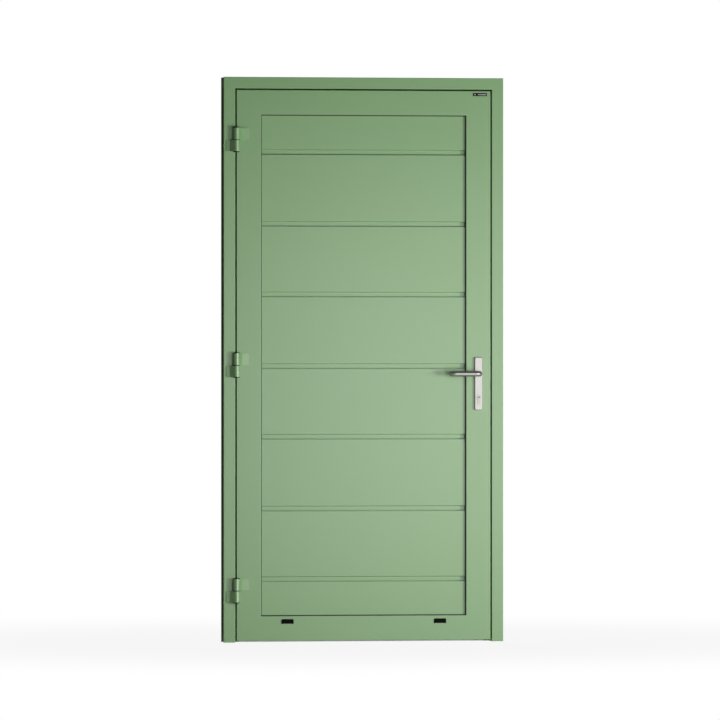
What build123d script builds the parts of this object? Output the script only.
# Side-hinged utility door: an aluminium frame, and a flush leaf of mitred profiles round a ribbed infill.
# Millimetres, +Z up. +X is to the right seen from outside and +Y goes into the building.
# The origin is on the floor, in the middle of the threshold's underside.
# Depths are counted from the outer face of the door towards the inside.
from build123d import *
import os

os.makedirs("parts", exist_ok=True)

# Frame
door_width = 1000
door_height = 2000
frame_face = 41  # width of the frame seen from outside
frame_wall = 3
wall_lip = 10  # return lips on the open wall side
stop_reach = 20  # how far the stop stands in behind the leaf
stop_thickness = 12
running_gap = 5  # free space round every side of the leaf
floor_gap = 6
edge_radius = 1.2  # rounding of the profiles' outer edges

# Frame seal and threshold
seal_width = 8
seal_base = 1
seal_bulb_width = 4
seal_height = 3
threshold_height = 20
threshold_depth = 32
threshold_ramp = 10
threshold_wall = 3

# Leaf profiles
leaf_depth = 60
profile_face = 87  # width of a stile or rail seen from outside
tube_width = 68
profile_wall = 3
lip_depth = 10  # outer lip that the infill is pressed against

# Ribbed infill
gasket_thickness = 2
gasket_sight = 3.5  # strip of gasket that shows beside the lip
panel_thickness = 40
panel_edge_gap = 4
first_joint = 473  # height of the lowest joint between two sections
section_pitch = 504
joint_count = 3
rib_rise = 254  # pressed rib above the joint below it
rib_height = 19
rib_depth = 8
rib_slope = 2
shadow_height = 3.5  # narrow deeper line along a rib's lower edge
shadow_depth = 18
back_rib_depth = 4
tongue_depth = 40
tongue_width = 12
tongue_height = 8
tongue_taper = 1
tongue_play = 0.3
bead_width = 20
bead_chamfer = 4

# Hinges
hinge_spread = 797  # from the middle hinge to the ones above and below
hinge_lift = 0  # middle hinge over the leaf's mid height
knuckle_radius = 11
axis_stand_off = 13  # hinge axis in front of the door's face
upper_knuckle = 41
lower_knuckle = 39
bush_height = 3
cap_height = 3
cap_bevel = 1
pin_radius = 5
pin_play = 0.05
lift_play = 0.3  # between the leaf's knuckle and the bush under it
leaf_wing = 46  # reach from the axis
frame_wing = 34.5
wing_start = 4
wing_tip = 3.5  # thickness at the end
wing_root = 5
shoulder_reach = 22  # where the wing runs out of the knuckle
shoulder_side = 6

# Handle and lock
spindle_height = 950
plate_width = 28
plate_height = 187
plate_drop = 35  # middle of the plate below the spindle
plate_thickness = 10
plate_corner = 4
plate_bevel = 1.5
boss_radius = 12.5
boss_height = 2
lever_radius = 9.5
lever_reach = 102
lever_stand_off = 45
lever_bend = 15
lever_return = 23
lever_end_bevel = 2
neck_start = 1
shaft_play = 0.3
spindle_side = 8
spindle_insert = 20
follower_radius = 6.5
cylinder_drop = 83  # below the spindle
cylinder_radius = 8.5
cylinder_leg = 10
cylinder_height = 33
cylinder_proud = 2
keyway_width = 9
keyway_height = 2.4
keyway_depth = 6
seat_play = 0.2
faceplate_width = 22
faceplate_height = 240
case_height = 190
case_depth = 16
case_reach = 58
bolt_mark_depth = 1.5
latch_height = 34
latch_width = 14
deadbolt_height = 40
strike_height = 190
strike_slot_width = 15
strike_slot_height = 42

# Drain caps
drain_offset = 273
drain_height = 73.5
drain_width = 44
drain_tall = 17.5
drain_proud = 6
drain_taper = 25
drain_corner = 4
drain_mouth_width = 34
drain_mouth_height = 4

# Fixing holes in the jambs' webs
fixing_radius = 5.25
fixing_low = 330
fixing_spread = 1320
fixing_inset = 440

# Places worked out from the sizes above
half_width = door_width / 2
stop_front = leaf_depth + running_gap + seal_height
frame_depth = stop_front + stop_thickness
stop_edge = frame_face + stop_reach
front_y = -(stop_front + threshold_depth / 2)
leaf_half = half_width - frame_face - running_gap
leaf_top = door_height - frame_face - running_gap
leaf_bottom = floor_gap
leaf_height = leaf_top - leaf_bottom
panel_front = lip_depth + gasket_thickness
panel_back = panel_front + panel_thickness
panel_half = leaf_half - tube_width - panel_edge_gap
panel_low = leaf_bottom + tube_width + panel_edge_gap
panel_high = leaf_top - tube_width - panel_edge_gap
axis_x = -(leaf_half + running_gap / 2)
hinge_middle = (leaf_bottom + leaf_top) / 2 + hinge_lift
hinge_heights = {
    "bottom": hinge_middle - hinge_spread,
    "middle": hinge_middle,
    "top": hinge_middle + hinge_spread,
}
handle_x = leaf_half - profile_face / 2
plate_centre = spindle_height - plate_drop
cylinder_z = spindle_height - cylinder_drop
lock_mid_depth = leaf_depth / 2


def plan(height):
    """Plane that looks down: local x is X, local y is depth."""
    return Plane(origin=(0, front_y, height), x_dir=(1, 0, 0), z_dir=(0, 0, 1))


def face_on(depth):
    """Plane seen from outside: local x is X, local y is Z, and it is raised towards the viewer."""
    return Plane(origin=(0, front_y + depth, 0), x_dir=(1, 0, 0), z_dir=(0, -1, 0))


def edge_on(x):
    """Plane seen from the side: local x is depth, local y is Z, and it is raised along +X."""
    return Plane(origin=(x, front_y, 0), x_dir=(0, 1, 0), z_dir=(1, 0, 0))


def left_side(edge, low):
    """Profile plane of a left upright: local x goes inwards from its edge, local y is depth."""
    return Plane(origin=(-edge, front_y, low), x_dir=(1, 0, 0), z_dir=(0, 0, 1))


def right_side(edge, low):
    """Profile plane of a right upright, which is raised downwards."""
    return Plane(origin=(edge, front_y, low), x_dir=(-1, 0, 0), z_dir=(0, 0, -1))


def top_side(edge, start):
    """Profile plane of a top bar that runs along +X."""
    return Plane(origin=(start, front_y, edge), x_dir=(0, 0, -1), z_dir=(1, 0, 0))


def bottom_side(edge, start):
    """Profile plane of a bottom bar that runs along -X."""
    return Plane(origin=(start, front_y, edge), x_dir=(0, 0, 1), z_dir=(-1, 0, 0))


def mitre(x, z, side, rise):
    """Plane at 45 degrees through a corner, with its upper side on the bar that runs along X."""
    return Plane(origin=(x, 0, z), z_dir=(side, 0, rise))


frame_top_left = mitre(-half_width, door_height, 1, 1)
frame_top_right = mitre(half_width, door_height, -1, 1)
leaf_top_left = mitre(-leaf_half, leaf_top, 1, 1)
leaf_top_right = mitre(leaf_half, leaf_top, -1, 1)
leaf_bottom_left = mitre(-leaf_half, leaf_bottom, 1, -1)
leaf_bottom_right = mitre(leaf_half, leaf_bottom, -1, -1)


def save(piece, name):
    """Labels a finished piece and writes it."""
    piece.part.label = name
    export_step(piece.part, f"parts/{name}.step")


def frame_section(plane):
    """Frame profile: a channel that is open to the wall, with a stop behind the leaf."""
    wall = frame_wall
    with BuildSketch(plane) as section:
        with BuildLine():
            Polyline(
                (0, 0),
                (frame_face, 0),
                (frame_face, stop_front),
                (stop_edge, stop_front),
                (stop_edge, frame_depth),
                (0, frame_depth),
                close=True,
            )
        make_face()
        fillet(section.vertices().group_by(Axis.Y)[0], edge_radius)
        with BuildLine():
            Polyline(
                (wall, wall),
                (frame_face - wall, wall),
                (frame_face - wall, stop_front + wall),
                (stop_edge - wall, stop_front + wall),
                (stop_edge - wall, frame_depth - wall),
                (wall, frame_depth - wall),
                close=True,
            )
        make_face(mode=Mode.SUBTRACT)
        with Locations((wall / 2, frame_depth / 2)):
            Rectangle(wall, frame_depth - 2 * wall_lip, mode=Mode.SUBTRACT)
    return section.sketch


def leaf_section(plane):
    """Leaf profile: a hollow tube with an outer lip that holds the infill."""
    with BuildSketch(plane) as section:
        with BuildLine():
            Polyline(
                (0, 0),
                (profile_face, 0),
                (profile_face, lip_depth),
                (tube_width, lip_depth),
                (tube_width, leaf_depth),
                (0, leaf_depth),
                close=True,
            )
        make_face()
        fillet(section.vertices().group_by(Axis.Y)[0], edge_radius)
        with Locations((tube_width / 2, leaf_depth / 2)):
            Rectangle(tube_width - 2 * profile_wall, leaf_depth - 2 * profile_wall, mode=Mode.SUBTRACT)
    return section.sketch


def bead_section(plane):
    """Snap-in bead behind the infill, with its inner edge chamfered."""
    with BuildSketch(plane) as section:
        with BuildLine():
            Polyline(
                (0, panel_back),
                (bead_width, panel_back),
                (bead_width, leaf_depth - bead_chamfer),
                (bead_width - bead_chamfer, leaf_depth),
                (0, leaf_depth),
                close=True,
            )
        make_face()
    return section.sketch


def cylinder_outline(plane, play):
    """Outline of a profile cylinder: a round barrel over a narrower leg with a round foot."""
    leg_length = cylinder_height - cylinder_radius - cylinder_leg / 2
    with BuildSketch(plane) as outline:
        with Locations((handle_x, cylinder_z)):
            Circle(cylinder_radius + play)
        with Locations((handle_x, cylinder_z - leg_length / 2)):
            Rectangle(cylinder_leg + 2 * play, leg_length)
        with Locations((handle_x, cylinder_z - leg_length)):
            Circle(cylinder_leg / 2 + play)
    return outline.sketch


def rib_outlines(plane, height):
    """Rib pressed into both faces of the infill, with a shadow line along the outer one's lower edge."""
    top = height + rib_height / 2
    low = height - rib_height / 2
    floor = panel_front + rib_depth
    back_floor = panel_back - back_rib_depth
    with BuildSketch(plane) as outlines:
        with BuildLine():
            Polyline(
                (panel_front, top),
                (floor, top - rib_slope),
                (floor, low + shadow_height),
                (panel_front + shadow_depth, low + shadow_height),
                (panel_front + shadow_depth, low),
                (panel_front, low),
                close=True,
            )
        make_face()
        with BuildLine():
            Polyline(
                (panel_back, top),
                (back_floor, top - rib_slope),
                (back_floor, low + rib_slope),
                (panel_back, low),
                close=True,
            )
        make_face()
    return outlines.sketch


def tongue_outline(plane, seat, play):
    """Tapered tongue on a section's upper edge, or the groove that takes it."""
    half = tongue_width / 2 + play
    with BuildSketch(plane) as outline:
        with BuildLine():
            Polyline(
                (tongue_depth - half, seat),
                (tongue_depth - half + tongue_taper, seat + tongue_height + play),
                (tongue_depth + half - tongue_taper, seat + tongue_height + play),
                (tongue_depth + half, seat),
                close=True,
            )
        make_face()
    return outline.sketch


# Frame: two jambs and a head, mitred at the top
with BuildPart() as hinge_jamb:
    extrude(frame_section(left_side(half_width, 0)), amount=door_height)
    split(bisect_by=frame_top_left, keep=Keep.BOTTOM)
    for lift in (0, fixing_inset, fixing_spread - fixing_inset, fixing_spread):
        with BuildSketch(edge_on(-half_width + frame_face)) as fixing:
            with Locations((leaf_depth / 2, fixing_low + lift)):
                Circle(fixing_radius)
        extrude(amount=-frame_wall, mode=Mode.SUBTRACT)
save(hinge_jamb, "hinge_jamb")

with BuildPart() as lock_jamb:
    extrude(frame_section(right_side(half_width, 0)), amount=-door_height)
    split(bisect_by=frame_top_right, keep=Keep.BOTTOM)
    for lift in (0, fixing_inset, fixing_spread - fixing_inset, fixing_spread):
        with BuildSketch(edge_on(half_width - frame_face)) as fixing:
            with Locations((leaf_depth / 2, fixing_low + lift)):
                Circle(fixing_radius)
        extrude(amount=frame_wall, mode=Mode.SUBTRACT)
    with BuildSketch(edge_on(half_width - frame_face)) as strike_seat:
        with Locations((lock_mid_depth, plate_centre)):
            Rectangle(faceplate_width + 2 * seat_play, strike_height + 2 * seat_play)
    extrude(amount=frame_wall, mode=Mode.SUBTRACT)
save(lock_jamb, "lock_jamb")

with BuildPart() as frame_head:
    extrude(frame_section(top_side(door_height, -half_width)), amount=door_width)
    split(bisect_by=frame_top_left, keep=Keep.TOP)
    split(bisect_by=frame_top_right, keep=Keep.TOP)
save(frame_head, "frame_head")

# Threshold behind the leaf's lower edge, between the stops
with BuildPart() as threshold:
    sill_half = half_width - stop_edge
    with BuildSketch(edge_on(-sill_half)) as sill:
        with BuildLine():
            Polyline(
                (stop_front, 0),
                (stop_front + threshold_depth, 0),
                (stop_front + threshold_depth, threshold_height - threshold_ramp),
                (stop_front + threshold_depth - threshold_ramp, threshold_height),
                (stop_front, threshold_height),
                close=True,
            )
        make_face()
        offset(amount=-threshold_wall, mode=Mode.SUBTRACT)
    extrude(amount=2 * sill_half)
save(threshold, "threshold")

# Frame seal: four mitred strips with a raised bulb, on the stops and on the threshold
def seal_section(plane):
    """Seal strip on the face of a stop: a flat base with a bevelled bulb."""
    bulb_start = (seal_width - seal_bulb_width) / 2
    bulb_bevel = seal_bulb_width / 4
    with BuildSketch(plane) as section:
        with BuildLine():
            Polyline(
                (0, stop_front),
                (0, stop_front - seal_base),
                (bulb_start, stop_front - seal_base),
                (bulb_start, stop_front - seal_height + bulb_bevel),
                (bulb_start + bulb_bevel, stop_front - seal_height),
                (seal_width - bulb_start - bulb_bevel, stop_front - seal_height),
                (seal_width - bulb_start, stop_front - seal_height + bulb_bevel),
                (seal_width - bulb_start, stop_front - seal_base),
                (seal_width, stop_front - seal_base),
                (seal_width, stop_front),
                close=True,
            )
        make_face()
    return section.sketch


seal_inset = frame_face + (stop_reach - seal_width) / 2
seal_half = half_width - seal_inset
seal_high = door_height - seal_inset
seal_low = (threshold_height - seal_width) / 2
seal_top_left = mitre(-seal_half, seal_high, 1, 1)
seal_top_right = mitre(seal_half, seal_high, -1, 1)
seal_bottom_left = mitre(-seal_half, seal_low, 1, -1)
seal_bottom_right = mitre(seal_half, seal_low, -1, -1)

with BuildPart() as hinge_side_seal:
    extrude(seal_section(left_side(seal_half, seal_low)), amount=seal_high - seal_low)
    split(bisect_by=seal_top_left, keep=Keep.BOTTOM)
    split(bisect_by=seal_bottom_left, keep=Keep.BOTTOM)
save(hinge_side_seal, "hinge_side_seal")

with BuildPart() as lock_side_seal:
    extrude(seal_section(right_side(seal_half, seal_low)), amount=seal_low - seal_high)
    split(bisect_by=seal_top_right, keep=Keep.BOTTOM)
    split(bisect_by=seal_bottom_right, keep=Keep.BOTTOM)
save(lock_side_seal, "lock_side_seal")

with BuildPart() as head_seal:
    extrude(seal_section(top_side(seal_high, -seal_half)), amount=2 * seal_half)
    split(bisect_by=seal_top_left, keep=Keep.TOP)
    split(bisect_by=seal_top_right, keep=Keep.TOP)
save(head_seal, "head_seal")

with BuildPart() as sill_seal:
    extrude(seal_section(bottom_side(seal_low, seal_half)), amount=2 * seal_half)
    split(bisect_by=seal_bottom_left, keep=Keep.TOP)
    split(bisect_by=seal_bottom_right, keep=Keep.TOP)
save(sill_seal, "sill_seal")

# Strike plate let into the lock jamb
with BuildPart() as strike_plate:
    with BuildSketch(edge_on(half_width - frame_face)) as strike:
        with Locations((lock_mid_depth, plate_centre)):
            Rectangle(faceplate_width, strike_height)
        with Locations((lock_mid_depth, spindle_height), (lock_mid_depth, cylinder_z)):
            Rectangle(strike_slot_width, strike_slot_height, mode=Mode.SUBTRACT)
    extrude(amount=frame_wall)
save(strike_plate, "strike_plate")

# Leaf: four mitred profiles
with BuildPart() as hinge_stile:
    extrude(leaf_section(left_side(leaf_half, leaf_bottom)), amount=leaf_height)
    split(bisect_by=leaf_top_left, keep=Keep.BOTTOM)
    split(bisect_by=leaf_bottom_left, keep=Keep.BOTTOM)
save(hinge_stile, "hinge_stile")

with BuildPart() as lock_stile:
    extrude(leaf_section(right_side(leaf_half, leaf_bottom)), amount=-leaf_height)
    split(bisect_by=leaf_top_right, keep=Keep.BOTTOM)
    split(bisect_by=leaf_bottom_right, keep=Keep.BOTTOM)
    with BuildSketch(edge_on(leaf_half)) as faceplate_seat:
        with Locations((lock_mid_depth, plate_centre)):
            Rectangle(faceplate_width + 2 * seat_play, faceplate_height + 2 * seat_play)
    extrude(amount=-profile_wall, mode=Mode.SUBTRACT)
    with BuildSketch(face_on(0)) as spindle_way:
        with Locations((handle_x, spindle_height)):
            Circle(lever_radius)
    extrude(amount=-leaf_depth, mode=Mode.SUBTRACT)
    extrude(cylinder_outline(face_on(0), seat_play), amount=-leaf_depth, mode=Mode.SUBTRACT)
save(lock_stile, "lock_stile")

with BuildPart() as top_rail:
    extrude(leaf_section(top_side(leaf_top, -leaf_half)), amount=2 * leaf_half)
    split(bisect_by=leaf_top_left, keep=Keep.TOP)
    split(bisect_by=leaf_top_right, keep=Keep.TOP)
save(top_rail, "top_rail")

with BuildPart() as bottom_rail:
    extrude(leaf_section(bottom_side(leaf_bottom, leaf_half)), amount=2 * leaf_half)
    split(bisect_by=leaf_bottom_left, keep=Keep.TOP)
    split(bisect_by=leaf_bottom_right, keep=Keep.TOP)
save(bottom_rail, "bottom_rail")

# Infill: sandwich sections, each with a tongue that enters the one above
joints = [first_joint + section_pitch * step for step in range(joint_count)]
seats = [height - rib_height / 2 + shadow_height for height in joints]
ribs = sorted(joints + [height + rib_rise for height in [first_joint - section_pitch, *joints]])
section_lows = [panel_low, *seats]
section_highs = [*seats, panel_high]
panel_plane = edge_on(-panel_half)
for number, (low, high) in enumerate(zip(section_lows, section_highs), start=1):
    with BuildPart() as panel_section:
        with BuildSketch(panel_plane) as slab:
            with Locations((panel_front + panel_thickness / 2, (low + high) / 2)):
                Rectangle(panel_thickness, high - low)
            for height in ribs:
                if low - rib_height < height < high + rib_height:
                    add(panel_plane.to_local_coords(rib_outlines(panel_plane, height)), mode=Mode.SUBTRACT)
            if high != panel_high:
                add(panel_plane.to_local_coords(tongue_outline(panel_plane, high, 0)))
            if low != panel_low:
                add(panel_plane.to_local_coords(tongue_outline(panel_plane, low, tongue_play)), mode=Mode.SUBTRACT)
        extrude(amount=2 * panel_half)
    save(panel_section, f"panel_section_{number}")

# Gasket between the outer lips and the infill
with BuildPart() as panel_gasket:
    sight_half = leaf_half - profile_face - gasket_sight
    sight_low = leaf_bottom + profile_face + gasket_sight
    sight_high = leaf_top - profile_face - gasket_sight
    with BuildSketch(face_on(panel_front)) as gasket_ring:
        with Locations((0, (panel_low + panel_high) / 2)):
            Rectangle(2 * panel_half, panel_high - panel_low)
        with Locations((0, (sight_low + sight_high) / 2)):
            Rectangle(2 * sight_half, sight_high - sight_low, mode=Mode.SUBTRACT)
    extrude(amount=gasket_thickness)
save(panel_gasket, "panel_gasket")

# Beads that hold the infill from inside: the level ones run through
bead_half = leaf_half - tube_width
bead_low = leaf_bottom + tube_width
bead_high = leaf_top - tube_width
upright_bead = bead_high - bead_low - 2 * bead_width
with BuildPart() as top_bead:
    extrude(bead_section(top_side(bead_high, -bead_half)), amount=2 * bead_half)
save(top_bead, "top_bead")

with BuildPart() as bottom_bead:
    extrude(bead_section(bottom_side(bead_low, bead_half)), amount=2 * bead_half)
save(bottom_bead, "bottom_bead")

with BuildPart() as hinge_side_bead:
    extrude(bead_section(left_side(bead_half, bead_low + bead_width)), amount=upright_bead)
save(hinge_side_bead, "hinge_side_bead")

with BuildPart() as lock_side_bead:
    extrude(bead_section(right_side(bead_half, bead_low + bead_width)), amount=-upright_bead)
save(lock_side_bead, "lock_side_bead")


def hinge_outline(plane, side, reach):
    """Plan of a hinge half: a bored knuckle and the wing that lies on the leaf (side 1) or the frame (side -1)."""
    crest = -axis_stand_off - (knuckle_radius**2 - shoulder_side**2) ** 0.5
    with BuildSketch(plane) as outline:
        with BuildLine():
            Polyline(
                (axis_x + side * shoulder_side, crest),
                (axis_x + side * shoulder_reach, -wing_root),
                (axis_x + side * reach, -wing_tip),
                (axis_x + side * reach, 0),
                (axis_x + side * wing_start, 0),
                (axis_x, -axis_stand_off),
                close=True,
            )
        make_face()
        with Locations((axis_x, -axis_stand_off)):
            Circle(knuckle_radius)
            Circle(pin_radius + pin_play, mode=Mode.SUBTRACT)
    return outline.sketch


# Hinges: the lower half and the pin stay on the frame, the upper half turns with the leaf
for place, height in hinge_heights.items():
    foot = height - bush_height / 2 - lower_knuckle
    with BuildPart() as frame_half:
        extrude(hinge_outline(plan(foot), -1, frame_wing), amount=lower_knuckle)
    save(frame_half, f"{place}_hinge_frame_half")

    with BuildPart() as leaf_half_hinge:
        extrude(hinge_outline(plan(height + bush_height / 2), 1, leaf_wing), amount=upper_knuckle)
    save(leaf_half_hinge, f"{place}_hinge_leaf_half")

    with BuildPart() as hinge_pin:
        with BuildSketch(plan(foot)):
            with Locations((axis_x, -axis_stand_off)):
                Circle(pin_radius)
        extrude(amount=lower_knuckle + bush_height + upper_knuckle - lift_play)
    save(hinge_pin, f"{place}_hinge_pin")

with BuildPart() as hinge_bushes:
    for height in hinge_heights.values():
        with BuildSketch(plan(height - bush_height / 2)):
            with Locations((axis_x, -axis_stand_off)):
                Circle(knuckle_radius)
                Circle(pin_radius + pin_play, mode=Mode.SUBTRACT)
        extrude(amount=bush_height - lift_play)
save(hinge_bushes, "hinge_bushes")

with BuildPart() as hinge_lower_caps:
    for height in hinge_heights.values():
        with BuildSketch(plan(height - bush_height / 2 - lower_knuckle)):
            with Locations((axis_x, -axis_stand_off)):
                Circle(knuckle_radius)
        extrude(amount=-cap_height)
    for solid in hinge_lower_caps.solids():
        chamfer(solid.edges().sort_by(Axis.Z)[0], cap_bevel)
save(hinge_lower_caps, "hinge_lower_caps")

with BuildPart() as hinge_upper_caps:
    for height in hinge_heights.values():
        with BuildSketch(plan(height + bush_height / 2 + upper_knuckle)):
            with Locations((axis_x, -axis_stand_off)):
                Circle(knuckle_radius)
        extrude(amount=cap_height)
    for solid in hinge_upper_caps.solids():
        chamfer(solid.edges().sort_by(Axis.Z)[-1], cap_bevel)
save(hinge_upper_caps, "hinge_upper_caps")

# Handle: a narrow plate on each face, a bent lever on each side and the square spindle between them
leaf_middle = Plane(origin=(0, front_y + leaf_depth / 2, 0), z_dir=(0, 1, 0))
with BuildPart() as outer_handle_plate:
    with BuildSketch(face_on(0)) as plate_outline:
        with Locations((handle_x, plate_centre)):
            RectangleRounded(plate_width, plate_height, plate_corner)
    extrude(amount=plate_thickness)
    chamfer(outer_handle_plate.faces().sort_by(Axis.Y)[0].edges(), plate_bevel)
    with BuildSketch(face_on(-plate_thickness)) as boss:
        with Locations((handle_x, spindle_height)):
            Circle(boss_radius)
    extrude(amount=boss_height)
    with BuildSketch(face_on(0)) as neck_bore:
        with Locations((handle_x, spindle_height)):
            Circle(lever_radius + shaft_play)
    extrude(amount=plate_thickness + boss_height, mode=Mode.SUBTRACT)
    extrude(cylinder_outline(face_on(0), seat_play), amount=plate_thickness, mode=Mode.SUBTRACT)
save(outer_handle_plate, "outer_handle_plate")

with BuildPart() as inner_handle_plate:
    mirror(outer_handle_plate.part, about=leaf_middle)
save(inner_handle_plate, "inner_handle_plate")

with BuildPart() as outer_lever:
    with BuildLine(plan(spindle_height)) as lever_path:
        FilletPolyline(
            (handle_x, -neck_start),
            (handle_x, -lever_stand_off),
            (handle_x - lever_reach, -lever_stand_off),
            (handle_x - lever_reach, -lever_stand_off + lever_return),
            radius=lever_bend,
        )
    with BuildSketch(Plane(origin=lever_path.line @ 0, z_dir=lever_path.line % 0)) as lever_round:
        Circle(lever_radius)
    sweep()
    chamfer(outer_lever.faces().sort_by(Axis.X)[0].edges().sort_by(Axis.Y)[-1], lever_end_bevel)
    with BuildSketch(face_on(-neck_start)) as socket:
        with Locations((handle_x, spindle_height)):
            Rectangle(spindle_side, spindle_side)
    extrude(amount=spindle_insert - neck_start, mode=Mode.SUBTRACT)
save(outer_lever, "outer_lever")

with BuildPart() as inner_lever:
    mirror(outer_lever.part, about=leaf_middle)
save(inner_lever, "inner_lever")

with BuildPart() as lever_spindle:
    with BuildSketch(face_on(-spindle_insert)) as spindle_square:
        with Locations((handle_x, spindle_height)):
            Rectangle(spindle_side, spindle_side)
    extrude(amount=-(leaf_depth + 2 * spindle_insert))
save(lever_spindle, "lever_spindle")

# Lock: profile cylinder through both plates, and the mortice case behind its faceplate
with BuildPart() as lock_cylinder:
    barrel_front = plate_thickness + cylinder_proud
    extrude(cylinder_outline(face_on(-barrel_front), 0), amount=-(leaf_depth + 2 * barrel_front))
    for keyway_plane, inwards in ((face_on(-barrel_front), -1), (face_on(leaf_depth + barrel_front), 1)):
        with BuildSketch(keyway_plane) as keyway:
            with Locations((handle_x, cylinder_z)):
                Rectangle(keyway_width, keyway_height)
        extrude(amount=inwards * keyway_depth, mode=Mode.SUBTRACT)
save(lock_cylinder, "lock_cylinder")

with BuildPart() as mortice_lock:
    with BuildSketch(edge_on(leaf_half)) as faceplate:
        with Locations((lock_mid_depth, plate_centre)):
            Rectangle(faceplate_width, faceplate_height)
    extrude(amount=-profile_wall)
    with BuildSketch(edge_on(leaf_half - profile_wall)) as case:
        with Locations((lock_mid_depth, plate_centre)):
            Rectangle(case_depth, case_height)
    extrude(amount=-(case_reach - profile_wall))
    with BuildSketch(edge_on(leaf_half)) as bolt_marks:
        with Locations((lock_mid_depth, spindle_height)):
            Rectangle(latch_width, latch_height)
        with Locations((lock_mid_depth, cylinder_z)):
            Rectangle(latch_width, deadbolt_height)
    extrude(amount=-bolt_mark_depth, mode=Mode.SUBTRACT)
    with BuildSketch(face_on(0)) as follower:
        with Locations((handle_x, spindle_height)):
            Circle(follower_radius)
    extrude(amount=-leaf_depth, mode=Mode.SUBTRACT)
    extrude(cylinder_outline(face_on(0), seat_play), amount=-leaf_depth, mode=Mode.SUBTRACT)
save(mortice_lock, "mortice_lock")

# Drain caps on the bottom rail, hooded and open underneath
for side, place in ((-1, "left"), (1, "right")):
    with BuildPart() as drain_cap:
        with BuildSketch(face_on(0)) as hood:
            with Locations((side * drain_offset, drain_height)):
                RectangleRounded(drain_width, drain_tall, drain_corner)
        extrude(amount=drain_proud, taper=drain_taper)
        with BuildSketch(face_on(0)) as mouth:
            with Locations((side * drain_offset, drain_height - drain_tall / 2 + drain_mouth_height / 2)):
                Rectangle(drain_mouth_width, drain_mouth_height)
        extrude(amount=drain_proud / 2, mode=Mode.SUBTRACT)
    save(drain_cap, f"{place}_drain_cap")
